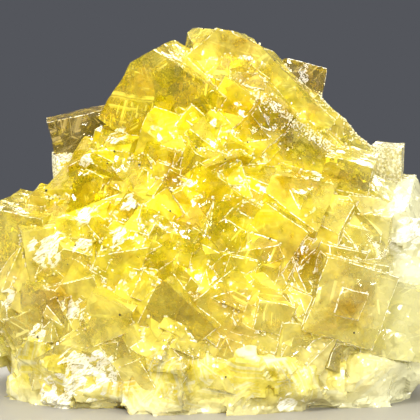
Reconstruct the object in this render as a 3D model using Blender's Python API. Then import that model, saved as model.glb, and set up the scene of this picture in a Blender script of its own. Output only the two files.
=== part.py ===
"""Fluorite specimen: a mound of intergrown yellow cubic crystals seated on a pale massive base.

It stands on its flat-trimmed underside. X runs along its length, -Y is its display side and Z is up. The
crystals grew into one another, so they are one solid. The base is the pale rock that they grew on, a second
solid with a hairline gap to the crystals.
"""

import math
import random
from typing import NamedTuple

import bmesh
import bpy
from mathutils import Euler, Matrix, Vector

MM = 0.001
SEED = 11
WELD = 0.001 * MM  # corners closer than this are one
EVEN_STEPS = (0.7548776662, 0.5698402910)  # steps whose multiples never bunch up
FLUORITE_IOR = 1.434

# Driving dimensions
SEAM = 0.3 * MM  # gap between the crystals and the base they sit on
HEART_DEPTH = (1.2, 2.2)  # millimetres, how far the crystals' solid heart lies under their outer form
HEART_HEIGHTS = range(1, 47, 4)  # millimetres, where the heart's corners lie
HEART_AZIMUTHS = range(0, 360, 20)  # degrees
HEART_JITTER = (1.2, 7)  # how far its corners stray from there, in millimetres and in degrees
RIM_CLEARANCE = 0.9 * MM  # the crystals end this far above the surface that the base stands on
STEP_RISE = 0.2 * MM  # how far a growth step stands above its crystal's face
STEP_SHARE = 0.36  # a growth step's width, as a share of the face it stands on
BREAK_RELIEF = 0.6  # millimetres, how far broken faces lie above or below the mound's outer form
BREAK_SLANT = 16  # degrees, how far broken faces lean away from the mound's outer form
COMMON_EDGE = 1.2  # the commonest edge of a scattered crystal, as a share of its field's smallest
EDGE_RATIO = (0.85, 1.25)  # a scattered crystal's three edges, as shares of the size drawn for it
CRYSTAL_SINK = (0.3, 0.44)  # how deep a scattered crystal's centre lies, as a share of its edge
ROCK_SWELL = (0.93, 1.05)  # how far a base lump's corners lie from its ellipsoid, as a share of its size
ROCK_SQUARENESS = 0.8  # below 1 it crowds a base lump's corners outwards, towards a box
FINE_WHOLE = 0.3  # share of the fine crystals that kept their corners
FINE_SHARE = 0.5  # a fine crystal's edge, as a share of its field's
FINE_SINK = (0.24, 0.42)  # how deep a fine crystal's centre lies, as a share of its edge

# The outer form of the mound: height, then its reach to the left, right, front and back, in millimetres
MOUND = (
    (0.0, 28.0, 28.0, 15.5, 14.0),
    (4.0, 30.0, 30.0, 17.8, 17.0),
    (14.0, 30.5, 31.0, 18.2, 18.0),
    (22.0, 29.0, 29.5, 16.4, 16.5),
    (27.0, 24.0, 26.5, 14.5, 15.0),
    (32.0, 18.5, 21.5, 12.3, 13.0),
    (37.0, 14.0, 16.5, 9.8, 11.0),
    (42.0, 10.5, 12.0, 7.2, 8.5),
    (46.0, 6.5, 7.5, 4.5, 6.0),
    (48.3, 2.0, 3.0, 1.0, 2.0),
)


class Crystal(NamedTuple):
    """One cubic crystal. Sizes and place in millimetres, turn as (tilt, roll, yaw) in degrees.

    breaks are flat faces where it is broken off: an outward direction, and a distance from its centre.
    """

    at: tuple
    edges: tuple
    turn: tuple
    stepped: bool = False
    breaks: tuple = ()


class Field(NamedTuple):
    """A patch of parallel growth: crystals of one orientation spread over a stretch of the mound."""

    azimuth: tuple  # degrees round Z: -90 is the display side, 0 the right end
    height: tuple  # millimetres
    whole: int  # crystals whose corners stand out
    broken: int  # crystals broken off nearly flush with the mound
    fine: int  # small crystals that grew over the others
    edge: tuple  # smallest and largest, millimetres
    turn: tuple  # tilt, roll, yaw in degrees
    wander: float  # how far one strays from that orientation, degrees


CROWN_BREAKS = (((0.55, -0.1, 0.83), 4.9), ((-0.6, -0.3, 0.74), 5.4))

# The crystals that give the specimen its outline and its landmarks
MAIN_CRYSTALS = (
    # crown: a large clear cube on the left, broken off on top, and a high one behind it with two worn corners
    Crystal((-5.2, -3.0, 39.0), (13.0, 11.0, 12.0), (8, 34, -12), breaks=(((-0.505, 0.0, 0.863), 6.95),)),
    Crystal((1.8, 2.5, 43.6), (9.5, 8.0, 9.6), (0, 6, 10), breaks=CROWN_BREAKS),
    Crystal((-6.4, 4.6, 38.2), (8.0, 8.0, 9.0), (-6, 26, 10)),
    # ledges, one behind the other, that run down to the right
    Crystal((4.2, -3.6, 31.4), (12.0, 9.0, 9.5), (7, 38, -4)),
    Crystal((4.7, -0.6, 34.6), (16.0, 9.0, 10.0), (5, 41, -5)),
    Crystal((5.7, 2.0, 39.5), (20.0, 11.0, 12.0), (4, 46, -4), breaks=(((0.38, 0.0, 0.925), 6.7),)),
    Crystal((15.6, 4.0, 33.0), (13.0, 8.0, 8.0), (4, 44, 8)),
    # dark cubes standing behind them
    Crystal((12.0, 7.0, 40.8), (5.8, 5.6, 6.2), (-4, 13, 16)),
    Crystal((24.3, 3.4, 29.8), (4.0, 5.4, 6.4), (4, 3, -12)),
    # tan cube behind the left shoulder, and the frosted one under it
    Crystal((-17.4, 7.0, 32.8), (8.6, 8.6, 8.8), (3, -12, 6)),
    Crystal((-18.6, 2.0, 28.6), (4.8, 6.0, 6.2), (6, -4, 10)),
    # heart: upright blades and wedges
    Crystal((10.4, -9.6, 23.4), (4.2, 7.0, 9.0), (8, -5, 10)),
    Crystal((3.0, -10.8, 22.4), (3.6, 8.0, 11.5), (10, 27, -8)),
    Crystal((-6.4, -9.4, 24.5), (11.0, 8.0, 7.0), (22, -24, -6)),
    Crystal((-4.0, -11.8, 18.6), (12.0, 7.5, 6.0), (18, 19, 6)),
    Crystal((-12.6, -5.8, 27.6), (9.0, 8.0, 8.0), (16, 27, -22)),
    # right flank: well-grown cubes with sharp edges
    Crystal((16.6, -12.3, 14.4), (9.8, 9.8, 10.0), (6, 17, 13), True),
    Crystal((23.6, -10.4, 11.4), (8.6, 9.0, 9.4), (4, 8, 5)),
    Crystal((17.9, -4.6, 28.2), (6.4, 8.0, 8.2), (10, 15, -10)),
    Crystal((8.6, -12.0, 13.0), (7.5, 7.0, 12.0), (6, 14, 30)),
    Crystal((0.2, -15.2, 12.6), (3.4, 5.0, 4.6), (6, 4, 12)),
    # left flank
    Crystal((-23.6, -5.4, 21.6), (8.5, 9.0, 8.5), (12, 8, -24)),
    Crystal((-16.5, -10.0, 17.0), (8.0, 7.0, 9.0), (14, -9, -20)),
    Crystal((-19.5, -9.4, 9.6), (9.0, 8.5, 8.5), (12, -26, -24)),
    Crystal((-9.5, -11.4, 7.4), (10.0, 8.0, 8.5), (14, 24, -8)),
)

FIELDS = (
    # display side, from the foot to the crown
    Field((-156, -114), (2, 13), 0, 13, 7, (6.0, 9.5), (4, -16, -26), 14),
    Field((-156, -108), (12, 26), 1, 15, 9, (5.5, 9.0), (10, 26, -18), 14),
    Field((-114, -72), (2, 12), 0, 17, 9, (5.0, 9.5), (6, 18, 16), 20),
    Field((-114, -66), (11, 22), 0, 18, 12, (5.0, 9.0), (14, 32, -10), 25),
    Field((-114, -66), (21, 34), 0, 17, 12, (4.5, 8.5), (20, 48, 6), 25),
    Field((-72, -28), (2, 14), 0, 13, 7, (5.0, 9.0), (5, 19, 12), 14),
    Field((-66, -30), (13, 28), 2, 13, 8, (5.0, 8.5), (10, 22, -20), 14),
    # crown and its shoulders
    Field((-120, -40), (33, 43), 1, 9, 5, (4.5, 7.0), (6, 40, -8), 10),
    Field((-175, -112), (26, 36), 2, 8, 5, (4.5, 7.0), (8, 14, -24), 10),
    # ends
    Field((165, 206), (5, 26), 1, 12, 5, (5.5, 9.0), (3, -10, 14), 10),
    Field((-30, 12), (22, 28), 2, 3, 3, (4.5, 7.0), (3, 10, -14), 10),
    # back of the crown
    Field((25, 155), (28, 44), 5, 20, 8, (4.5, 8.0), (-12, -14, 12), 12),
)


class Rock(NamedTuple):
    """One lump of the base, the hull of points on an ellipsoid. Its centre and half sizes in millimetres."""

    at: tuple
    half: tuple
    points: int


BASE_ROCKS = (
    Rock((0.0, 1.0, 6.0), (27.0, 14.0, 9.5), 60),
    Rock((-3.0, 5.5, 15.0), (20.0, 10.0, 13.5), 40),
    Rock((6.0, 6.0, 17.0), (19.0, 10.5, 13.5), 40),
    Rock((-21.5, 5.0, 10.0), (8.5, 10.5, 11.0), 30),
    Rock((-14.0, 10.0, 16.0), (9.5, 6.5, 12.0), 26),
    Rock((13.0, 11.5, 13.0), (10.0, 6.5, 12.5), 26),
)

# Pale massive blocks that show the crystals' own cleavage
BASE_BLOCKS = (
    # right shoulder
    Crystal((24.6, -3.4, 19.4), (10.0, 12.5, 12.0), (16, -24, -12)),
    Crystal((25.0, -4.6, 10.6), (9.0, 12.0, 12.5), (4, 5, 4)),
    Crystal((24.2, 5.6, 15.5), (9.6, 10.5, 15.0), (-3, -7, 12)),
    Crystal((21.0, 1.0, 20.6), (9.5, 12.0, 12.0), (3, 9, -6)),
    Crystal((23.0, 7.6, 6.5), (10.5, 9.0, 10.0), (2, 12, -16)),
)

# The broken rim along the foot of the display side
BASE_RIM = Field((-172, -8), (0.5, 5.0), 0, 20, 10, (5.0, 8.5), (7, 8, 8), 15)

# Colours
YELLOW = (0.93, 0.80, 0.05, 1.0)
PALE = (0.95, 0.93, 0.70, 1.0)


def clear_scene():
    for obj in list(bpy.data.objects):
        bpy.data.objects.remove(obj)


def new_collection(name):
    made = bpy.data.collections.new(name)
    bpy.context.scene.collection.children.link(made)
    return made


def material(name, colour, roughness, transmission):
    made = bpy.data.materials.new(name)
    made.use_nodes = True
    shader = made.node_tree.nodes["Principled BSDF"]
    shader.inputs["Base Color"].default_value = colour
    shader.inputs["Roughness"].default_value = roughness
    shader.inputs["Metallic"].default_value = 0.0
    shader.inputs["Transmission Weight"].default_value = transmission
    shader.inputs["IOR"].default_value = FLUORITE_IOR
    return made


def turned(turn):
    """The rotation for (tilt, roll, yaw): roll in the front face's plane, tilt about X, then yaw about Z."""
    tilt, roll, yaw = (math.radians(angle) for angle in turn)
    return Euler((tilt, roll, yaw), "YXZ").to_matrix().to_4x4()


def helper(name, collection, build):
    """A block that only takes part in Booleans, from a bmesh that build fills."""
    mesh = bpy.data.meshes.new(name)
    shape = bmesh.new()
    build(shape)
    bmesh.ops.recalc_face_normals(shape, faces=shape.faces)
    shape.to_mesh(mesh)
    shape.free()
    obj = bpy.data.objects.new(name, mesh)
    obj.hide_render = True
    obj.display_type = "WIRE"
    collection.objects.link(obj)
    return obj


def cube_into(shape, crystal, grow=0.0):
    """Adds a crystal to shape, grown on every side: a cube, broken off where it has breaks."""
    size = (Vector(crystal.edges) + Vector((2, 2, 2)) * grow / MM) * MM
    place = Matrix.Translation(Vector(crystal.at) * MM) @ turned(crystal.turn)
    bmesh.ops.create_cube(shape, size=1.0, matrix=place @ Matrix.Diagonal((*size, 1.0)))
    for direction, distance in crystal.breaks:
        outward = Vector(direction).normalized()
        cut = bmesh.ops.bisect_plane(
            shape,
            geom=shape.verts[:] + shape.edges[:] + shape.faces[:],
            plane_co=(Vector(crystal.at) + outward * distance) * MM + outward * grow,
            plane_no=outward,
            clear_outer=True,
        )
        rim = [item for item in cut["geom_cut"] if isinstance(item, bmesh.types.BMEdge)]
        bmesh.ops.contextual_create(shape, geom=rim)


def growth_steps(crystal):
    """The low square plates that stand on a crystal's six faces, as three bars through it."""
    width, depth, height = crystal.edges
    rise = 2 * STEP_RISE / MM
    for edges in (
        (width * STEP_SHARE, depth + rise, height * STEP_SHARE),
        (width + rise, depth * STEP_SHARE, height * STEP_SHARE),
        (width * STEP_SHARE, depth * STEP_SHARE, height + rise),
    ):
        yield crystal._replace(edges=edges)


def mound_reach(height, azimuth):
    """The mound's outer form: its distance from the Z axis at a height in millimetres, towards an azimuth."""
    below = max(row for row in MOUND if row[0] <= max(height, 0.0))
    above = min((row for row in MOUND if row[0] > height), default=MOUND[-1])
    share = 0.0 if above[0] == below[0] else (height - below[0]) / (above[0] - below[0])
    left, right, front, back = (low + (high - low) * share for low, high in zip(below[1:], above[1:]))
    cosine, sine = math.cos(math.radians(azimuth)), math.sin(math.radians(azimuth))
    half_length = right if cosine > 0 else left
    half_depth = back if sine > 0 else front
    return 1.0 / math.sqrt((cosine / half_length) ** 2 + (sine / half_depth) ** 2)


def on_mound(height, azimuth):
    angle = math.radians(azimuth)
    reach = mound_reach(height, azimuth)
    return Vector((math.cos(angle) * reach, math.sin(angle) * reach, height))


def mound_normal(height, azimuth):
    """The outward direction there, from two short steps on the surface."""
    here = on_mound(height, azimuth)
    round_it = on_mound(height, azimuth + 2) - here
    up_it = on_mound(height + 1, azimuth) - here
    return round_it.cross(up_it).normalized()


def wandering(angles, reach, dice):
    return tuple(angle + dice.uniform(-reach, reach) for angle in angles)


def spread(count, dice):
    """Pairs of shares from 0 to 1 that cover a square evenly, with no two close together."""
    start = dice.random(), dice.random()
    for number in range(count):
        yield tuple((first + number * step) % 1.0 for first, step in zip(start, EVEN_STEPS))


def scattered(field, dice):
    """The crystals of one field: whole ones first, then broken ones, then fine ones, some of those broken."""
    places = spread(field.whole + field.broken + field.fine, dice)
    for number, (around, up) in enumerate(places):
        azimuth = field.azimuth[0] + around * (field.azimuth[1] - field.azimuth[0])
        height = field.height[0] + up * (field.height[1] - field.height[0])
        smallest, largest = field.edge
        edge = dice.triangular(smallest, largest, smallest * COMMON_EDGE)
        is_whole = number < field.whole
        is_fine = number >= field.whole + field.broken
        if is_fine:
            edge *= FINE_SHARE
        sink = edge * dice.uniform(*(FINE_SINK if is_fine else CRYSTAL_SINK))
        normal = mound_normal(height, azimuth)
        centre = on_mound(height, azimuth) - normal * sink
        edges = tuple(edge * dice.uniform(*EDGE_RATIO) for _ in range(3))
        turn = wandering(field.turn, field.wander, dice)
        if is_whole or is_fine and dice.random() < FINE_WHOLE:
            yield Crystal(tuple(centre), edges, turn)
            continue
        slant = Euler([math.radians(angle) for angle in wandering((0, 0, 0), BREAK_SLANT, dice)])
        normal.rotate(slant)
        distance = sink + dice.uniform(-BREAK_RELIEF, BREAK_RELIEF)
        yield Crystal(tuple(centre), edges, turn, breaks=((tuple(normal), distance),))


def hull_into(shape, points):
    """Adds the convex hull of points, in millimetres."""
    for point in points:
        shape.verts.new(point * MM)
    hull = bmesh.ops.convex_hull(shape, input=shape.verts)
    spare = {item for item in hull["geom_interior"] if isinstance(item, bmesh.types.BMVert)}
    bmesh.ops.delete(shape, geom=list(spare), context="VERTS")


def heart_into(shape, dice):
    """Adds the solid heart of the crystal mass, a little under the mound's outer form."""
    rise, swing = HEART_JITTER
    points = []
    for height in HEART_HEIGHTS:
        for azimuth in HEART_AZIMUTHS:
            spot = on_mound(height + dice.uniform(-rise, rise), azimuth + dice.uniform(-swing, swing))
            points.append(spot - mound_normal(height, azimuth) * dice.uniform(*HEART_DEPTH))
    hull_into(shape, points)


def rock_into(shape, rock, grow, dice):
    """Adds a lump of the base, grown on every side."""
    points = []
    for _ in range(rock.points):
        way = Vector([dice.gauss(0, 1) for _ in range(3)]).normalized()
        way = Vector([math.copysign(abs(part) ** ROCK_SQUARENESS, part) for part in way])
        swell = dice.uniform(*ROCK_SWELL)
        reach = Vector([half * swell + grow / MM for half in rock.half])
        points.append(Vector(rock.at) + way * reach)
    hull_into(shape, points)


def union_of(obj, collection):
    joined = obj.modifiers.new("grown_together", "BOOLEAN")
    joined.operation = "UNION"
    joined.operand_type = "COLLECTION"
    joined.collection = collection


def cut_by(obj, cutter):
    cut = obj.modifiers.new("cut", "BOOLEAN")
    cut.operation = "DIFFERENCE"
    cut.object = cutter


def show(obj, look):
    """Makes a block a node of the specimen."""
    obj.hide_render = False
    obj.display_type = "SOLID"
    obj.data.materials.append(look)


def keep_one_body(obj):
    """Applies obj's modifiers and keeps its largest body, without the chips and sealed pockets they leave."""
    graph = bpy.context.evaluated_depsgraph_get()
    made = bpy.data.meshes.new_from_object(obj.evaluated_get(graph))
    obj.modifiers.clear()
    obj.data = made
    shape = bmesh.new()
    shape.from_mesh(made)
    bmesh.ops.remove_doubles(shape, verts=shape.verts, dist=WELD)
    left, bodies = set(shape.verts), []
    while left:
        body, waiting = set(), [left.pop()]
        while waiting:
            vert = waiting.pop()
            body.add(vert)
            near = {edge.other_vert(vert) for edge in vert.link_edges} & left
            left -= near
            waiting += near
        bodies.append(body)
    bodies.sort(key=len)
    loose = [vert for body in bodies[:-1] for vert in body]
    bmesh.ops.delete(shape, geom=loose, context="VERTS")
    shape.to_mesh(made)
    shape.free()


def base_form(name, home, grow=0.0):
    """The lumps and blocks of the base as one solid, every one of them grown by a margin."""
    dice = random.Random(SEED)
    others = new_collection(f"{name}_rocks")
    form = helper(name, home, lambda shape: rock_into(shape, BASE_ROCKS[0], grow, dice))
    for number, rock in enumerate(BASE_ROCKS[1:], 1):
        helper(f"{name}_rock_{number}", others, lambda shape: rock_into(shape, rock, grow, dice))
    for number, block in enumerate((*BASE_BLOCKS, *scattered(BASE_RIM, dice))):
        helper(f"{name}_block_{number}", others, lambda shape: cube_into(shape, block, grow))
    union_of(form, others)
    return form


def make_base(specimen, helpers):
    base = base_form("pale_base", specimen)
    show(base, material("pale_massive_fluorite", PALE, roughness=0.45, transmission=0.3))
    cut_by(base, floor_cutter("under_floor", helpers, 0.0))
    keep_one_body(base)
    return base


def make_crystals(specimen, helpers):
    dice = random.Random(SEED)
    grown = new_collection("crystal_blocks")
    cluster = helper("crystal_cluster", specimen, lambda shape: heart_into(shape, dice))
    show(cluster, material("yellow_fluorite", YELLOW, roughness=0.08, transmission=0.85))
    for number, crystal in enumerate(MAIN_CRYSTALS):
        helper(f"crystal_{number}", grown, lambda shape: cube_into(shape, crystal))
        steps = growth_steps(crystal) if crystal.stepped else ()
        for step_number, step in enumerate(steps):
            helper(f"growth_step_{number}_{step_number}", grown, lambda shape: cube_into(shape, step))
    for place, field in enumerate(FIELDS):
        for number, crystal in enumerate(scattered(field, dice)):
            helper(f"field_{place}_crystal_{number}", grown, lambda shape: cube_into(shape, crystal))
    union_of(cluster, grown)
    cut_by(cluster, base_form("crystal_seat", helpers, SEAM))
    cut_by(cluster, floor_cutter("under_rim", helpers, RIM_CLEARANCE))
    keep_one_body(cluster)
    return cluster


def floor_cutter(name, helpers, top):
    """A slab whose upper face is at height top, which trims what reaches below it."""
    width, depth, thickness = 90.0, 70.0, 40.0
    slab = Crystal((0, 0, top / MM - thickness / 2), (width, depth, thickness), (0, 0, 0))
    return helper(name, helpers, lambda shape: cube_into(shape, slab))


def stand_on_centre(nodes):
    """Moves everything so that the specimen's box is centred on the Z axis and stands on the ground."""
    corners = [obj.matrix_world @ vert.co for obj in nodes for vert in obj.data.vertices]
    low = Vector(min(corner[axis] for corner in corners) for axis in range(3))
    high = Vector(max(corner[axis] for corner in corners) for axis in range(3))
    middle = (low + high) / 2
    for obj in bpy.data.objects:
        obj.location -= Vector((middle.x, middle.y, low.z))


def main():
    clear_scene()
    specimen = new_collection("fluorite_specimen")
    helpers = new_collection("helpers")
    base = make_base(specimen, helpers)
    cluster = make_crystals(specimen, helpers)
    stand_on_centre((base, cluster))


main()
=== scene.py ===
"""Finish of a yellow fluorite specimen: clear crystals, the cleavage films in them and their pale base."""

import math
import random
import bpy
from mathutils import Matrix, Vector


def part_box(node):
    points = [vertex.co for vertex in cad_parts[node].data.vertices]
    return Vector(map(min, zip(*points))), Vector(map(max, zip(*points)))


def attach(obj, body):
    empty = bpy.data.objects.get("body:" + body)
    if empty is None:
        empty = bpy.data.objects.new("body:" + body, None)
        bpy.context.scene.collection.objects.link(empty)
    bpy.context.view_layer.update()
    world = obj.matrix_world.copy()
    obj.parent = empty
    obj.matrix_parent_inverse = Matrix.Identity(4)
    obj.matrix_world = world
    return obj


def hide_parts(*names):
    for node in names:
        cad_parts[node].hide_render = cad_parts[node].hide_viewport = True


bl_info = {
    "name": "Yellow Fluorite Specimen",
    "version": (1, 0, 0),
    "blender": (4, 5, 0),
    "location": "View3D > Sidebar > Fluorite",
    "description": "Dresses a packed fluorite specimen with its crystals, cleavage films, base and studio",
    "category": "Add Mesh",
}

import bmesh
import bpy
from mathutils import Euler, Matrix, Vector, noise
from mathutils.bvhtree import BVHTree
from mathutils.kdtree import KDTree

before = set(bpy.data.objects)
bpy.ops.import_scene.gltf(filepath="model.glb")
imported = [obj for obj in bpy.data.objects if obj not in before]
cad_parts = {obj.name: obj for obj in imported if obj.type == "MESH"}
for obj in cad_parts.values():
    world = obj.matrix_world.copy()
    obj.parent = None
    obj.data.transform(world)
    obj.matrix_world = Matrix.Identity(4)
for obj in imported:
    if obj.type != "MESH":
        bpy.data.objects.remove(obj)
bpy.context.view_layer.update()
noise.seed_set(1)  # noise vectors would differ from run to run without it

MM = 0.001
BACKWARDS = Vector((0.0, 1.0, 0.0))  # the way into the specimen from its front
LOT = 100  # grains made at a time, because the operators slow down as a mesh fills up
FLUORITE_IOR = 1.434
CLEAVAGE_TURN = (math.radians(14), math.radians(33), math.radians(-12))  # of the patterns, off the axes

# The deep yellow heart, past which the mineral pales
HEART_CENTRE = (-3.0 * MM, -2.0 * MM, 25.0 * MM)
HEART_REACH = (23.0 * MM, 22.0 * MM, 22.0 * MM)
# The way to the pale corner, lower right, and where it starts and is full along that way and to the right
PALE_WAY = (0.86, 0.0, -0.5)
PALE_ALONG = (7.0 * MM, 19.0 * MM)
PALE_ACROSS = (18.0 * MM, 24.0 * MM)

# Where single crystals differ from the rest: centre and reach in millimetres, and for some how much
SMOKY_CRYSTALS = (
    ((-17.8, 8.0, 33.0), 7.6),
    ((11.6, 8.0, 40.8), 4.8),
    ((23.9, 4.4, 29.8), 4.6, 0.35),
)
FROSTED_CRYSTALS = (
    ((-19.0, 2.8, 28.6), 4.4, 2.0),
    ((23.9, 4.4, 29.8), 4.6, 0.6),
)
CLOUDED_INSIDE = (
    ((-4.0, -1.0, 39.5), 10.0, 0.6),
    ((6.0, 1.0, 34.0), 10.0, 0.5),
    ((18.5, -9.0, 13.5), 8.0, 0.5),
)
OUTLINED_CRYSTALS = (
    ((16.2, -11.3, 14.4), 8.6, 0.4),
)
# Painted highlights (white striated glints), amber depths and a painted shadow (the darker olive band under
# the upper right crystal): left to right, height and reach in millimetres
PAINTED_GLINT_SPOTS = (
    (-16.1, 5.2, 3.1),
    (-20.8, 1.8, 2.1),
    (-12.6, 34.6, 1.0),
    (-16.8, 31.8, 1.6),
    (-16.3, 24.6, 1.2),
    (-21.0, 20.6, 1.9),
    (-16.6, 20.9, 1.0),
    (-11.9, 22.0, 1.1),
    (-10.4, 26.7, 1.0),
    (-3.0, 29.0, 1.0),
    (-17.4, 13.3, 1.3),
    (-22.2, 9.8, 1.1),
    (-26.7, 13.4, 1.2),
    (9.6, 1.2, 1.7),
    (25.0, 22.0, 2.6),
)
AMBER_SPOTS = (
    (11.5, 20.5, 3.4),
    (-5.7, 30.4, 2.4),
    (17.2, 13.6, 2.6),
    (3.0, 45.8, 5.0),
    (-19.0, 15.0, 2.0),
)
# A painted shadow: the darker olive band under the upper right crystal, where the crystal is also clearer
PAINTED_SHADOW_SPOTS = (
    (7.2, 37.0, 2.3),
    (10.0, 34.9, 2.5),
    (12.8, 33.0, 2.2),
)
# Where the tiny crystals line a ridge of the front: its two ends (left to right, height) and their number
SUGARY_RIDGES = (
    ((15.0, 39.6), (22.6, 32.0), 700),
    ((5.6, 40.0), (15.8, 32.6), 420),
)

# The crystals' surface
LARGE_FACE = 20 * MM**2  # from this size on a face is clear
SHARP_ANGLE = math.radians(14)  # from this angle on an edge may be frosted
SHORT_EDGE = 0.5 * MM  # up to this length it isn't
FROSTED_SHARE = 0.45  # of the sharp edges
BENDING_EDGE = 1.0 * MM  # the longest edge left, so that flat faces can bend
# Cleavage films: air gaps, far thinner in the mineral, drawn thick enough to keep their walls apart
FILM_GAP = 0.03 * MM
FILM_RADII = (0.8, 3.6)  # in millimetres
SMALLEST_FILM = 0.6 * MM
SPARED_SHARE = 0.8  # of the films in the outlined crystals, so that they stay clear
# Tiny crystals and grains: smallest, largest and commonest size in millimetres
DRUSE_SIZES = (0.06, 0.32, 0.11)
RIDGE_SIZES = (0.05, 0.26, 0.09)
SPECK_SIZES = (0.06, 0.24, 0.10)
CONTACT_ANGLE = -math.radians(25)  # hollow enough an angle for druse to grow in
CONTACT_SPREAD = 0.12 * MM
RIDGE_SPREAD = 0.4  # in millimetres
DRUSE_PATCH = 2.5 * MM
# The base is grown and shrunk, which closes the gaps between its lumps, and then broken into facets
GROWTH, GROWN_VOXEL = 1.5 * MM, 0.5 * MM
SHRINKAGE, SHRUNK_VOXEL = -1.0 * MM, 0.42 * MM
SHELL_LIMIT = 1.6  # keeps sharp corners from shooting out
GROUNDED = 0.02 * MM  # up to this height a point belongs to the flat foot and stays on the ground
FOOT = 0.3 * MM  # up to this height the base isn't softened or broken
BASE_FACETS = ((6.0, 0.14), (2.4, 0.05))  # size in millimetres and slope
FACET_STRIDE = 7.3  # takes the centres of neighbouring facets to unlike slants
BASE_LIFT = 0.05 * MM

# Soft lights: name, place and side in metres, power in watts and colour
LAMPS = (
    ("key_left", (-0.24, -0.28, 0.34), 0.11, 2.4, "FFFDF8"),
    ("front", (0.10, -0.52, 0.20), 0.13, 2.2, "FFFFFF"),
    ("fill_right", (0.34, -0.22, 0.12), 0.12, 0.8, "FFFFFF"),
    ("top_back", (0.05, 0.22, 0.32), 0.20, 1.6, "FFFFFF"),
)
LAMP_TARGET = Vector((0.0, 0.0, 25.0 * MM))
CAMERA_TARGET = Vector((-0.41 * MM, 1.01 * MM, 24.3 * MM))
CAMERA_DISTANCE = 236.4 * MM
CAMERA_TILT = math.radians(5)


def linear(code):
    """The linear colour, with alpha, of an sRGB hex code such as F4D42A."""
    shares = [int(code[start : start + 2], 16) / 255 for start in (0, 2, 4)]
    return tuple(c / 12.92 if c <= 0.04045 else ((c + 0.055) / 1.055) ** 2.4 for c in shares) + (1.0,)


def per_mm(size):
    """A texture's scale at which its cells or waves are size millimetres wide."""
    return 1.0 / (size * MM)


class FLUORITE_PG_crystals(bpy.types.PropertyGroup):
    """What a user would change of the specimen"""

    edge_width: bpy.props.FloatProperty(
        name="Frosted edge", description="Width of the frosted edges", default=0.065 * MM, unit="LENGTH"
    )
    films: bpy.props.IntProperty(
        name="Cleavage films", description="Air-filled cleavage films inside", default=420
    )
    druse: bpy.props.IntProperty(
        name="Druse", description="Tiny crystals along the contacts", default=7000
    )
    specks: bpy.props.IntProperty(
        name="Specks", description="Dark sulphide grains on the crystals", default=110
    )
    colour: bpy.props.FloatVectorProperty(
        name="Yellow",
        description="Colour of the clouded crystal",
        default=linear("F8E408"),
        size=4,
        subtype="COLOR",
    )


class FLUORITE_PG_stage(bpy.types.PropertyGroup):
    """What a user would change of the stage"""

    floor_reach: bpy.props.FloatProperty(
        name="Floor", description="Radius of the pale floor", default=0.2, unit="LENGTH"
    )


def add_node(tree, kind, inputs=(), **settings):
    """Adds a node with its settings. inputs are (socket, value or output socket)."""
    made = tree.nodes.new(kind)
    for key, value in settings.items():
        setattr(made, key, value)
    for socket, value in dict(inputs).items():
        if isinstance(value, bpy.types.NodeSocket):
            tree.links.new(value, made.inputs[socket])
        else:
            made.inputs[socket].default_value = value
    return made


def new_material(name):
    """An empty material and its node tree."""
    made = bpy.data.materials.new(name)
    made.use_nodes = True
    made.node_tree.nodes.clear()
    return made, made.node_tree


def object_place(tree):
    """A point's place on its piece, in metres."""
    return add_node(tree, "ShaderNodeTexCoord").outputs["Object"]


def turned_place(tree):
    """A point's place, turned so that no pattern lies along the axes."""
    return add_node(
        tree, "ShaderNodeMapping", {"Vector": object_place(tree), "Rotation": CLEAVAGE_TURN}
    ).outputs[0]


def attribute(tree, name):
    """What the mesh itself says at a point, under that name."""
    return add_node(tree, "ShaderNodeAttribute", attribute_name=name).outputs["Fac"]


def times(tree, first, second):
    """Two shares multiplied, kept between 0 and 1."""
    return add_node(
        tree, "ShaderNodeMath", {0: first, 1: second}, operation="MULTIPLY", use_clamp=True
    ).outputs[0]


def greater(tree, first, second):
    """The greater of two shares."""
    return add_node(tree, "ShaderNodeMath", {0: first, 1: second}, operation="MAXIMUM").outputs[0]


def blend(tree, share, low, high, kind="FLOAT"):
    """low where share is 0, high where it is 1."""
    first, second, out = {"FLOAT": (2, 3, 0), "RGBA": (6, 7, 2)}[kind]
    mixed = add_node(tree, "ShaderNodeMix", {0: share, first: low, second: high}, data_type=kind)
    return mixed.outputs[out]


def tinted(tree, share, colour, code):
    """colour where share is 0, that of the hex code where it is 1."""
    return blend(tree, share, colour, linear(code), "RGBA")


def spread_out(tree, value, low, high, start=0.0, end=1.0):
    """value's stretch from low to high, spread from start to end."""
    return add_node(
        tree,
        "ShaderNodeMapRange",
        {"Value": value, "From Min": low, "From Max": high, "To Min": start, "To Max": end},
    ).outputs["Result"]


def noise_at(tree, place, size, detail):
    """A cloudy pattern whose largest shapes are size millimetres wide."""
    return add_node(
        tree,
        "ShaderNodeTexNoise",
        {"Vector": place, "Scale": per_mm(size), "Detail": detail, "Roughness": 0.6},
    ).outputs["Fac"]


def from_heart(tree):
    """How far a point lies from the yellow heart of the specimen: 1 on its rounded border."""
    heart = add_node(
        tree,
        "ShaderNodeMapping",
        {"Vector": object_place(tree), "Location": HEART_CENTRE, "Scale": HEART_REACH},
        vector_type="TEXTURE",
    ).outputs[0]
    return add_node(tree, "ShaderNodeVectorMath", {0: heart}, operation="LENGTH").outputs["Value"]


def pale_corner(tree):
    """1 in the lower right of the specimen, where the mineral is pale and milky."""
    along = add_node(
        tree, "ShaderNodeVectorMath", {0: object_place(tree), 1: PALE_WAY}, operation="DOT_PRODUCT"
    ).outputs["Value"]
    across = add_node(tree, "ShaderNodeSeparateXYZ", {0: object_place(tree)}).outputs["X"]
    return greater(tree, spread_out(tree, along, *PALE_ALONG), spread_out(tree, across, *PALE_ACROSS))


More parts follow.
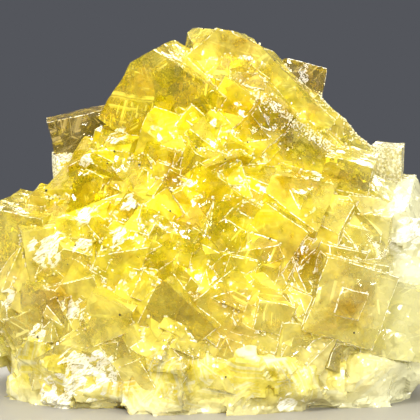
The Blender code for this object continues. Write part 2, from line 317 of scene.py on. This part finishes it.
def cleaved(tree, place, cell, slope):
    """Height of a broken surface in metres: small facets of one size, each with a slant of its own."""
    cells = add_node(
        tree,
        "ShaderNodeTexVoronoi",
        {"Vector": place, "Scale": per_mm(cell), "Randomness": 0.85},
        distance="CHEBYCHEV",
    )
    slant = add_node(
        tree,
        "ShaderNodeVectorMath",
        {0: cells.outputs["Color"], 1: (0.5, 0.5, 0.5)},
        operation="SUBTRACT",
    ).outputs[0]
    arm = add_node(
        tree, "ShaderNodeVectorMath", {0: place, 1: cells.outputs["Position"]}, operation="SUBTRACT"
    ).outputs[0]
    height = add_node(
        tree, "ShaderNodeVectorMath", {0: slant, 1: arm}, operation="DOT_PRODUCT"
    ).outputs["Value"]
    return add_node(tree, "ShaderNodeMath", {0: height, 1: slope}, operation="MULTIPLY").outputs[0]


def broken_relief(tree, place, large, small, ripple):
    """The bumped normal of cleaved fluorite: large and small facets, and a ripple in metres."""
    waves = add_node(
        tree, "ShaderNodeTexNoise", {"Vector": place, "Scale": per_mm(1.1), "Detail": 2.0, "Roughness": 0.55}
    ).outputs["Fac"]
    height = add_node(tree, "ShaderNodeMath", {0: waves, 1: ripple}, operation="MULTIPLY").outputs[0]
    for cell, slope in (large, small):
        facets = cleaved(tree, place, cell, slope)
        height = add_node(tree, "ShaderNodeMath", {0: height, 1: facets}, operation="ADD").outputs[0]
    return add_node(tree, "ShaderNodeBump", {"Height": height, "Distance": 1.0, "Strength": 1.0}).outputs[0]


def lamellae(tree, place, cell, gap, share):
    """Sheaves of parallel cleavage lines in that share of the blocks, each block with its own direction.

    Real cleavage steps are finer than gap millimetres: these are as coarse as they need to be to show.
    """
    blocks = add_node(
        tree,
        "ShaderNodeTexVoronoi",
        {"Vector": place, "Scale": per_mm(cell), "Randomness": 0.9},
        distance="CHEBYCHEV",
    ).outputs["Color"]
    way = add_node(
        tree, "ShaderNodeVectorMath", {0: blocks, 1: (0.5, 0.5, 0.5)}, operation="SUBTRACT"
    ).outputs[0]
    way = add_node(tree, "ShaderNodeVectorMath", {0: way}, operation="NORMALIZE").outputs[0]
    depth = add_node(
        tree, "ShaderNodeVectorMath", {0: way, 1: place}, operation="DOT_PRODUCT"
    ).outputs["Value"]
    lines = add_node(
        tree,
        "ShaderNodeTexNoise",
        {"W": depth, "Scale": per_mm(gap), "Detail": 2.0, "Roughness": 0.7},
        noise_dimensions="1D",
    ).outputs["Fac"]
    luck = add_node(tree, "ShaderNodeSeparateColor", {0: blocks}).outputs[2]
    chosen = add_node(tree, "ShaderNodeMath", {0: luck, 1: share}, operation="LESS_THAN").outputs[0]
    return times(tree, spread_out(tree, lines, 0.46, 0.66), chosen)


def painted_glint_patches(tree, place):
    """Painted highlights: silky white glints painted at the glint spots, each edged by cleavage and lined
    along it.

    The lines are drawn 0.2 mm apart: the real ones are too fine to show.
    """
    mask = attribute(tree, "painted_glint")
    along = add_node(tree, "ShaderNodeMapping", {"Vector": place, "Scale": (0.10, 0.6, 1.0)}).outputs[0]
    streaks = spread_out(tree, noise_at(tree, along, 0.20, 1.0), 0.38, 0.52)
    slivers = add_node(tree, "ShaderNodeMapping", {"Vector": place, "Scale": (0.4, 1.0, 1.5)}).outputs[0]
    cells = add_node(
        tree,
        "ShaderNodeTexVoronoi",
        {"Vector": slivers, "Scale": per_mm(1.3), "Randomness": 1.0},
        distance="MANHATTAN",
    ).outputs["Color"]
    luck = add_node(tree, "ShaderNodeSeparateColor", {0: cells}).outputs[0]
    total = add_node(
        tree, "ShaderNodeMath", {0: luck, 1: 1.1, 2: mask}, operation="MULTIPLY_ADD"
    ).outputs[0]
    solid = times(tree, spread_out(tree, total, 0.98, 1.06), spread_out(tree, mask, 0.0, 0.2))
    return times(tree, solid, spread_out(tree, streaks, 0.0, 1.0, 0.35, 0.9))


def yellow_fluorite(settings):
    """Clear yellow fluorite, glassy and see-through: deeper with thickness, milky where it is fractured."""
    made, tree = new_material("yellow_fluorite")
    place = turned_place(tree)
    frost, veil, smoke, painted_shadow, amber = (
        attribute(tree, name) for name in ("frost", "veil", "smoke", "painted_shadow", "amber")
    )
    pale = pale_corner(tree)
    clouds = noise_at(tree, place, 4.0, 3.0)
    stains = spread_out(tree, noise_at(tree, place, 6.0, 2.0), 0.53, 0.66, 0.0, 0.7)
    depths = times(tree, amber, spread_out(tree, clouds, 0.62, 0.38, 0.0, 0.9))
    # White where it is frosted, and a painted highlight where a glint is painted
    rime = times(tree, frost, spread_out(tree, noise_at(tree, place, 0.35, 2.0), 0.42, 0.60))
    white = greater(tree, rime, painted_glint_patches(tree, place))
    # Milky where it is veiled, cleaved or pale
    sheaves = greater(tree, lamellae(tree, place, 5.0, 0.9, 0.45), lamellae(tree, place, 2.2, 0.5, 0.35))
    sheaves = times(tree, sheaves, spread_out(tree, clouds, 0.40, 0.55))
    cloudy = times(tree, spread_out(tree, clouds, 0.38, 0.60, 0.5, 1.0), veil)
    cloudy = greater(tree, cloudy, times(tree, sheaves, 0.8))
    cloudy = greater(tree, cloudy, times(tree, pale, 0.6))
    # Clearer where the painted shadow band lies
    cloudy = times(tree, cloudy, spread_out(tree, painted_shadow, 0.0, 1.0, 1.0, 0.45))
    clear = blend(tree, cloudy, 1.0, 0.25)
    clear = blend(tree, white, clear, 0.2)
    glass = tinted(tree, smoke, linear("FEFBE0"), "DCCB98")
    colour = tinted(tree, veil, settings.colour[:], "FAE82C")
    colour = tinted(tree, stains, colour, "F0C80C")
    colour = tinted(tree, times(tree, sheaves, 0.55), colour, "FAEC64")
    colour = tinted(tree, spread_out(tree, from_heart(tree), 0.75, 1.45), colour, "F5EBA0")
    colour = tinted(tree, pale, colour, "E6E0A4")
    colour = tinted(tree, depths, colour, "DDB21C")
    # Painted shadow: darker olive in the band under the upper right crystal
    colour = tinted(tree, times(tree, painted_shadow, 0.8), colour, "A89A22")
    colour = tinted(tree, smoke, colour, "C9B26C")
    colour = blend(tree, spread_out(tree, cloudy, 0.0, 0.12), glass, colour, "RGBA")
    # Painted highlight: white where the glints are painted, and white frost on the frosted edges
    colour = tinted(tree, white, colour, "F8F6E8")
    rough = blend(tree, veil, 0.04, 0.16)
    rough = blend(tree, white, rough, 0.45)
    body = add_node(
        tree,
        "ShaderNodeBsdfPrincipled",
        {
            "Base Color": colour,
            "Roughness": rough,
            "Transmission Weight": clear,
            "IOR": FLUORITE_IOR,
            "Normal": broken_relief(tree, place, (2.6, 0.35), (0.9, 0.30), 0.06 * MM),
        },
    )
    inside = add_node(
        tree, "ShaderNodeVolumeAbsorption", {"Color": (0.996, 0.994, 0.0, 1.0), "Density": 450.0}
    )
    add_node(
        tree, "ShaderNodeOutputMaterial", {"Surface": body.outputs[0], "Volume": inside.outputs[0]}
    )
    return made


def sugary_fluorite():
    """Tiny late crystals: each clear, but so small and many that together they look like sugar."""
    made, tree = new_material("sugary_fluorite")
    body = add_node(
        tree,
        "ShaderNodeBsdfPrincipled",
        {
            "Base Color": linear("FDF7D2"),
            "Roughness": 0.2,
            "Transmission Weight": 0.4,
            "IOR": FLUORITE_IOR,
        },
    )
    add_node(tree, "ShaderNodeOutputMaterial", {"Surface": body.outputs[0]})
    return made


def tarnished_sulphide():
    """Sulphide grains, dark and dull brown where they have tarnished."""
    made, tree = new_material("tarnished_sulphide")
    body = add_node(
        tree,
        "ShaderNodeBsdfPrincipled",
        {"Base Color": linear("3A3018"), "Roughness": 0.4, "Metallic": 0.3},
    )
    add_node(tree, "ShaderNodeOutputMaterial", {"Surface": body.outputs[0]})
    return made


def pale_massive_fluorite():
    """Massive fluorite: pale yellow to white, cloudy with tiny fractures, with painted highlights: white
    glints painted at the glint spots.
    """
    made, tree = new_material("pale_massive_fluorite")
    place = turned_place(tree)
    pale = pale_corner(tree)
    clouds = noise_at(tree, place, 5.0, 4.0)
    stains = spread_out(tree, noise_at(tree, place, 9.0, 2.0), 0.54, 0.68, 0.0, 0.8)
    sheaves = greater(tree, lamellae(tree, place, 6.0, 0.9, 0.7), lamellae(tree, place, 2.6, 0.5, 0.4))
    height = add_node(tree, "ShaderNodeSeparateXYZ", {0: object_place(tree)}).outputs["Z"]
    rim = spread_out(tree, height, 3.0 * MM, 0.5 * MM, 0.0, 0.6)
    # Painted highlight: white glints painted at the glint spots
    white = painted_glint_patches(tree, place)
    colour = tinted(tree, spread_out(tree, clouds, 0.38, 0.62), linear("F6E034"), "F8EA78")
    colour = tinted(tree, stains, colour, "E6BE2C")
    colour = tinted(tree, times(tree, sheaves, 0.9), colour, "FCF6BC")
    colour = tinted(tree, rim, colour, "F3ECBE")
    colour = tinted(tree, pale, colour, "D6D2A6")
    # Painted highlight: the painted glints turn white
    colour = tinted(tree, white, colour, "F8F6E8")
    clear = blend(tree, pale, spread_out(tree, clouds, 0.35, 0.60, 0.75, 0.3), 0.15)
    clear = blend(tree, white, clear, 0.1)
    body = add_node(
        tree,
        "ShaderNodeBsdfPrincipled",
        {
            "Base Color": colour,
            "Roughness": 0.18,
            "IOR": FLUORITE_IOR,
            "Transmission Weight": clear,
            "Normal": broken_relief(tree, place, (3.4, 0.30), (0.9, 0.22), 0.05 * MM),
        },
    )
    inside = add_node(
        tree, "ShaderNodeVolumeAbsorption", {"Color": (0.99, 0.985, 0.5, 1.0), "Density": 120.0}
    )
    add_node(
        tree, "ShaderNodeOutputMaterial", {"Surface": body.outputs[0], "Volume": inside.outputs[0]}
    )
    return made


def welded(node):
    """A bmesh of a node's solid, merged and with its flat faces whole."""
    shape = bmesh.new()
    shape.from_mesh(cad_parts[node].data)
    bmesh.ops.remove_doubles(shape, verts=shape.verts, dist=0.002 * MM)
    bmesh.ops.dissolve_limit(shape, angle_limit=math.radians(0.5), verts=shape.verts, edges=shape.edges)
    return shape


def piece_from(shape, name, look):
    """A finished piece from a bmesh, which it frees."""
    mesh = bpy.data.meshes.new(name)
    shape.to_mesh(mesh)
    shape.free()
    stale = mesh.attributes.get("custom_normal")
    if stale:
        mesh.attributes.remove(stale)
    mesh.shade_flat()
    mesh.materials.append(look)
    piece = bpy.data.objects.new(name, mesh)
    bpy.context.scene.collection.objects.link(piece)
    return piece


def near(spots, point):
    """How much a point has of what spots have: the share of the one it lies in, 1 where none is given."""
    shares = [
        (*share, 1.0)[0]
        for centre, reach, *share in spots
        if (point - Vector(centre) * MM).length < reach * MM
    ]
    return max(shares, default=0.0)


def on_front(skin, across, height):
    """The point of a surface's front at those millimetres to the right and up, or None past its edge."""
    return skin.ray_cast(Vector((across, -100.0, height)) * MM, BACKWARDS)[0]


def mark_spots(shape, name, spots, inner, outer):
    """Marks spots on a shape's front in an attribute: 1 up to inner times their reach, 0 past outer times."""
    layer = shape.verts.layers.float.new(name)
    skin = BVHTree.FromBMesh(shape)
    verts = shape.verts[:]
    tree = KDTree(len(verts))
    for index, vert in enumerate(verts):
        tree.insert(vert.co, index)
    tree.balance()
    for across, height, reach in spots:
        centre = on_front(skin, across, height)
        if centre is not None:
            for _, index, away in tree.find_range(centre, outer * reach * MM):
                share = (outer - away / (reach * MM)) / (outer - inner)
                verts[index][layer] = max(verts[index][layer], min(share, 1.0))


def wobble(point):
    """How far growth and wear have moved a point of the surface from its true plane."""
    bend = noise.noise_vector(point / (3.2 * MM)) * 0.24 * MM
    ripple = noise.noise_vector(point / (0.9 * MM)) * 0.07 * MM
    return bend + ripple


def split_long(shape, longest):
    """Cuts every edge until none is longer, so that the surface can bend."""
    bmesh.ops.triangulate(shape, faces=shape.faces)
    for _ in range(6):
        long = [edge for edge in shape.edges if edge.calc_length() > longest]
        if not long:
            break
        bmesh.ops.subdivide_edges(shape, edges=long, cuts=1)
        bmesh.ops.triangulate(shape, faces=shape.faces)


def add_to(whole, lot):
    """Adds one bmesh to another, with its layers, and frees it."""
    mesh = bpy.data.meshes.new("lot")
    lot.to_mesh(mesh)
    lot.free()
    whole.from_mesh(mesh)
    bpy.data.meshes.remove(mesh)


def crossings(skin, point, way):
    """How many faces a ray from point passes through."""
    count = 0
    spot = skin.ray_cast(point, way)[0]
    while spot is not None:
        count += 1
        spot = skin.ray_cast(spot + way * 0.001 * MM, way)[0]
    return count


def inside(skin, point):
    """Whether a point lies inside a closed surface, by three rays in case one grazes an edge."""
    ways = [Vector((0.21, 0.34, 0.92)), Vector((-0.71, 0.52, 0.48)), Vector((0.13, -0.88, 0.45))]
    return all(crossings(skin, point, way.normalized()) % 2 for way in ways)


def cleavage_film(shape, centre, radius, tilt, dice):
    """A thin air gap inside the crystal: a flat disc whose walls face its own inside."""
    sides = dice.randint(6, 10)
    verts = bmesh.ops.create_cone(
        shape, cap_ends=True, segments=sides, radius1=radius, radius2=radius, depth=FILM_GAP
    )["verts"]
    reach = [dice.uniform(0.55, 1.0) for _ in range(sides)]
    for vert in verts:
        turn = math.atan2(vert.co.y, vert.co.x) % math.tau
        share = reach[round(turn / math.tau * sides) % sides]
        vert.co.x *= share
        vert.co.y *= share
    place = Matrix.Translation(centre) @ tilt.to_matrix().to_4x4()
    bmesh.ops.transform(shape, matrix=place, verts=verts)
    faces = list({face for vert in verts for face in vert.link_faces})
    bmesh.ops.reverse_faces(shape, faces=faces)
    return faces


def fill_with_films(shape, node, count, dice):
    """Adds cleavage films inside a node's shape, and gives each its share of the veil."""
    skin = BVHTree.FromBMesh(shape)
    low, high = (Vector(corner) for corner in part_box(node))
    films = bmesh.new()
    veil = films.faces.layers.float.new("veil")
    while count:
        centre = Vector(dice.uniform(low[axis], high[axis]) for axis in range(3))
        _, _, _, distance = skin.find_nearest(centre)
        radius = min(dice.uniform(*FILM_RADII) * MM, distance * 0.97)
        spared = near(OUTLINED_CRYSTALS, centre) and dice.random() < SPARED_SHARE
        if radius > SMALLEST_FILM and not spared and inside(skin, centre):
            tilt = Euler([dice.uniform(0, math.tau) for _ in range(3)])
            share = dice.random() if dice.random() > near(CLOUDED_INSIDE, centre) else 1.0
            for face in cleavage_film(films, centre, radius, tilt, dice):
                face[veil] = share
            count -= 1
    add_to(shape, films)


class FLUORITE_OT_crystals(bpy.types.Operator):
    """Grows the yellow crystals with their frosted edges and inner films"""

    bl_idname = "fluorite.crystals"
    bl_label = "Grow crystals"

    def execute(self, context):
        settings = context.scene.fluorite_crystals
        dice = random.Random(5)
        shape = welded("crystal_cluster")
        frost = shape.faces.layers.float.new("frost")
        veil = shape.faces.layers.float.new("veil")
        smoke = shape.faces.layers.float.new("smoke")
        for face in shape.faces:
            middle = face.calc_center_median()
            clarity = min(face.calc_area() / LARGE_FACE, 1.0)
            face[veil] = dice.uniform(0.4, 1.0) * (1.0 - 0.35 * clarity)
            face[smoke] = near(SMOKY_CRYSTALS, middle)
            face[veil] *= 1.0 - 0.6 * face[smoke]
            face[frost] = near(FROSTED_CRYSTALS, middle)
        sharp = [
            edge
            for edge in shape.edges
            if edge.is_manifold
            and edge.calc_face_angle() > SHARP_ANGLE
            and edge.calc_length() > SHORT_EDGE
            and (dice.random() < FROSTED_SHARE or near(OUTLINED_CRYSTALS, edge.verts[0].co))
        ]
        skin = BVHTree.FromBMesh(shape)
        made = bmesh.ops.bevel(
            shape,
            geom=sharp,
            offset=settings.edge_width,
            segments=1,
            profile=0.5,
            affect="EDGES",
            material=-1,
            clamp_overlap=False,
        )
        for face in made["faces"]:
            face[frost] = 1.0 + near(OUTLINED_CRYSTALS, face.calc_center_median())
        for vert in shape.verts:
            spot, _, _, distance = skin.find_nearest(vert.co)
            if distance > settings.edge_width:
                vert.co = spot
        split_long(shape, BENDING_EDGE)
        for vert in shape.verts:
            vert.co += wobble(vert.co)
            vert.co.z = max(vert.co.z, 0.0)
        fill_with_films(shape, "crystal_cluster", settings.films, dice)
        # Marks where the painted glints go
        mark_spots(shape, "painted_glint", PAINTED_GLINT_SPOTS, 0.3, 1.5)
        mark_spots(shape, "amber", AMBER_SPOTS, 0.2, 1.6)
        # Marks where the painted shadow under the upper right crystal falls
        mark_spots(shape, "painted_shadow", PAINTED_SHADOW_SPOTS, 0.6, 1.5)
        piece = piece_from(shape, "crystals", yellow_fluorite(settings))
        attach(piece, "root")
        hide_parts("crystal_cluster")
        return {"FINISHED"}


def cubic_grain(shape, place, size):
    """A tiny cube with edges of that size."""
    bmesh.ops.create_cube(shape, size=size, matrix=place)


def round_grain(shape, place, size):
    """A tiny lump of that radius."""
    bmesh.ops.create_icosphere(shape, subdivisions=1, radius=size, matrix=place)


def scattered(spots, grain, dice):
    """A bmesh of one grain at each (spot, size), turned at random."""
    whole = bmesh.new()
    for start in range(0, len(spots), LOT):
        lot = bmesh.new()
        for spot, size in spots[start : start + LOT]:
            turn = Euler([dice.uniform(0, math.tau) for _ in range(3)]).to_matrix().to_4x4()
            grain(lot, Matrix.Translation(spot + wobble(spot)) @ turn, size)
        add_to(whole, lot)
    return whole


class FLUORITE_OT_druse(bpy.types.Operator):
    """Scatters the tiny late crystals and the sulphide grains"""

    bl_idname = "fluorite.druse"
    bl_label = "Scatter druse"

    def execute(self, context):
        settings = context.scene.fluorite_crystals
        dice = random.Random(9)
        body = welded("crystal_cluster")
        body.normal_update()
        contacts = [
            edge
            for edge in body.edges
            if edge.is_manifold and edge.calc_face_angle_signed() < CONTACT_ANGLE
        ]
        lengths = [edge.calc_length() for edge in contacts]
        sugar = []
        for edge in dice.choices(contacts, lengths, k=settings.druse):
            first, second = (vert.co for vert in edge.verts)
            spot = first.lerp(second, dice.random())
            if noise.noise(spot / DRUSE_PATCH) > 0.0:
                spot += Vector(dice.gauss(0, CONTACT_SPREAD) for _ in range(3))
                sugar.append((spot, dice.triangular(*DRUSE_SIZES) * MM))
        skin = BVHTree.FromBMesh(body)
        for start, end, count in SUGARY_RIDGES:
            for _ in range(count):
                across, height = Vector(start).lerp(Vector(end), dice.random())
                across += dice.gauss(0, RIDGE_SPREAD)
                height += dice.gauss(0, RIDGE_SPREAD)
                spot = on_front(skin, across, height)
                if spot is not None:
                    sugar.append((spot, dice.triangular(*RIDGE_SIZES) * MM))
        piece = piece_from(scattered(sugar, cubic_grain, dice), "druse", sugary_fluorite())
        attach(piece, "root")
        faces = body.faces[:]
        areas = [face.calc_area() for face in faces]
        specks = []
        for face in dice.choices(faces, areas, k=settings.specks):
            first, second, third = (dice.choice(face.verts).co for _ in range(3))
            spot = first.lerp(second, dice.random()).lerp(third, dice.random())
            specks.append((spot, dice.triangular(*SPECK_SIZES) * MM))
        body.free()
        piece = piece_from(scattered(specks, round_grain, dice), "sulphide_grains", tarnished_sulphide())
        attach(piece, "root")
        return {"FINISHED"}


def fused(shape, voxel):
    """The shape with its overlapping lumps made one even skin."""
    mesh = bpy.data.meshes.new("lumps")
    shape.to_mesh(mesh)
    shape.free()
    lumps = bpy.data.objects.new("lumps", mesh)
    bpy.context.scene.collection.objects.link(lumps)
    skin = lumps.modifiers.new("fuse", "REMESH")
    skin.mode = "VOXEL"
    skin.voxel_size = voxel
    whole = bmesh.new()
    whole.from_object(lumps, bpy.context.evaluated_depsgraph_get())
    bpy.data.objects.remove(lumps)
    bpy.data.meshes.remove(mesh)
    return whole


def stood_out(shape, distance):
    """The shape with its skin moved outwards, but for its flat foot."""
    shape.normal_update()
    steps = [vert.normal * min(vert.calc_shell_factor(), SHELL_LIMIT) * distance for vert in shape.verts]
    for vert, step in zip(shape.verts, steps):
        grounded = vert.co.z < GROUNDED
        vert.co += step
        vert.co.z = 0.0 if grounded else max(vert.co.z, 0.0)
    return shape


def soften(shape, rounds):
    """Evens out the skin above the foot."""
    high = [vert for vert in shape.verts if vert.co.z > FOOT]
    for _ in range(rounds):
        bmesh.ops.smooth_vert(
            shape, verts=high, factor=0.5, use_axis_x=True, use_axis_y=True, use_axis_z=True
        )


def chipped(point, cell, slope):
    """How far a broken surface stands out at a point: facets of one size, each with its own slant."""
    centre = noise.voronoi(point / (cell * MM), distance_metric="CHEBYCHEV")[1][0] * cell * MM
    slant = noise.cell_vector(centre / MM * FACET_STRIDE)
    return slope * slant.dot(point - centre)


class FLUORITE_OT_base(bpy.types.Operator):
    """Dresses the pale massive base"""

    bl_idname = "fluorite.base"
    bl_label = "Break base"

    def execute(self, context):
        shape = welded("pale_base")
        shape = fused(stood_out(shape, GROWTH), GROWN_VOXEL)
        soften(shape, 3)
        shape = fused(stood_out(shape, SHRINKAGE), SHRUNK_VOXEL)
        soften(shape, 2)
        shape.normal_update()
        for vert in shape.verts:
            if vert.co.z > FOOT:
                rise = sum(chipped(vert.co, *facets) for facets in BASE_FACETS)
                vert.co += vert.normal * (rise + BASE_LIFT)
                vert.co.z = max(vert.co.z, 0.0)
        films = context.scene.fluorite_crystals.films // 2
        fill_with_films(shape, "pale_base", films, random.Random(7))
        # Marks where the painted glints go
        mark_spots(shape, "painted_glint", PAINTED_GLINT_SPOTS, 0.3, 1.5)
        piece = piece_from(shape, "base", pale_massive_fluorite())
        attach(piece, "root")
        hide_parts("pale_base")
        return {"FINISHED"}


def studio(backdrop, ceiling):
    """A plain grey backdrop all round, under a soft white ceiling of that radiance."""
    world = bpy.data.worlds.new("studio")
    world.use_nodes = True
    tree = world.node_tree
    around = add_node(tree, "ShaderNodeTexCoord").outputs["Generated"]
    up = add_node(tree, "ShaderNodeSeparateXYZ", {0: around}).outputs["Z"]
    light = blend(
        tree, spread_out(tree, up, 0.5, 0.8), backdrop, (ceiling, ceiling, ceiling, 1.0), "RGBA"
    )
    tree.links.new(light, tree.nodes["Background"].inputs["Color"])
    bpy.context.scene.world = world


def pale_card():
    """Matt grey-white card: a quiet floor with a faint sheen."""
    made, tree = new_material("pale_card")
    body = add_node(
        tree,
        "ShaderNodeBsdfPrincipled",
        {"Base Color": linear("979388"), "Roughness": 0.5, "IOR": 1.45},
    )
    add_node(tree, "ShaderNodeOutputMaterial", {"Surface": body.outputs[0]})
    return made


def soft_light(name, place, side, power, colour):
    """Adds a square lamp that points at the specimen."""
    lamp = bpy.data.lights.new(name, "AREA")
    lamp.shape = "RECTANGLE"
    lamp.size = lamp.size_y = side
    lamp.energy = power
    lamp.color = linear(colour)[:3]
    lit = bpy.data.objects.new(name, lamp)
    lit.location = place
    lit.rotation_euler = (Vector(place) - LAMP_TARGET).to_track_quat("Z", "Y").to_euler()
    bpy.context.scene.collection.objects.link(lit)


def front_camera():
    """A long lens that looks at the specimen's front from a little above."""
    lens = bpy.data.cameras.new("camera")
    lens.lens = 150
    lens.sensor_width = 36
    lens.clip_start = 0.001
    camera = bpy.data.objects.new("camera", lens)
    back = Vector((0, -math.cos(CAMERA_TILT), math.sin(CAMERA_TILT)))
    camera.location = CAMERA_TARGET + back * CAMERA_DISTANCE
    camera.rotation_euler = back.to_track_quat("Z", "Y").to_euler()
    bpy.context.scene.collection.objects.link(camera)
    return camera


class FLUORITE_OT_stage(bpy.types.Operator):
    """Sets the floor, the soft lights and the camera"""

    bl_idname = "fluorite.stage"
    bl_label = "Set stage"

    def execute(self, context):
        settings = context.scene.fluorite_stage
        shape = bmesh.new()
        bmesh.ops.create_circle(shape, cap_ends=True, segments=96, radius=settings.floor_reach)
        floor = piece_from(shape, "floor", pale_card())
        studio(linear("54565C"), 2.0)
        for lamp in LAMPS:
            soft_light(*lamp)
        context.scene.camera = front_camera()
        context.scene.view_settings.view_transform = "Standard"
        # Light crosses many films on its way through the crystals
        cycles = context.scene.cycles
        cycles.max_bounces = 24
        cycles.transmission_bounces = 24
        cycles.diffuse_bounces = 6
        cycles.glossy_bounces = 16
        cycles.transparent_max_bounces = 32
        return {"FINISHED"}


class FLUORITE_PT_panel(bpy.types.Panel):
    """Lists the steps in the 3D view's sidebar"""

    bl_label = "Fluorite"
    bl_idname = "FLUORITE_PT_panel"
    bl_space_type = "VIEW_3D"
    bl_region_type = "UI"
    bl_category = "Fluorite"

    def draw(self, context):
        for kind in (FLUORITE_OT_crystals, FLUORITE_OT_druse, FLUORITE_OT_base, FLUORITE_OT_stage):
            self.layout.operator(kind.bl_idname)


CLASSES = (
    FLUORITE_PG_crystals,
    FLUORITE_PG_stage,
    FLUORITE_OT_crystals,
    FLUORITE_OT_druse,
    FLUORITE_OT_base,
    FLUORITE_OT_stage,
    FLUORITE_PT_panel,
)


def register():
    for kind in CLASSES:
        bpy.utils.register_class(kind)
    bpy.types.Scene.fluorite_crystals = bpy.props.PointerProperty(type=FLUORITE_PG_crystals)
    bpy.types.Scene.fluorite_stage = bpy.props.PointerProperty(type=FLUORITE_PG_stage)


def unregister():
    del bpy.types.Scene.fluorite_crystals
    del bpy.types.Scene.fluorite_stage
    for kind in reversed(CLASSES):
        bpy.utils.unregister_class(kind)


def main():
    register()
    bpy.ops.fluorite.stage()
    bpy.ops.fluorite.crystals()
    bpy.ops.fluorite.druse()
    bpy.ops.fluorite.base()


if __name__ == "__main__":
    main()
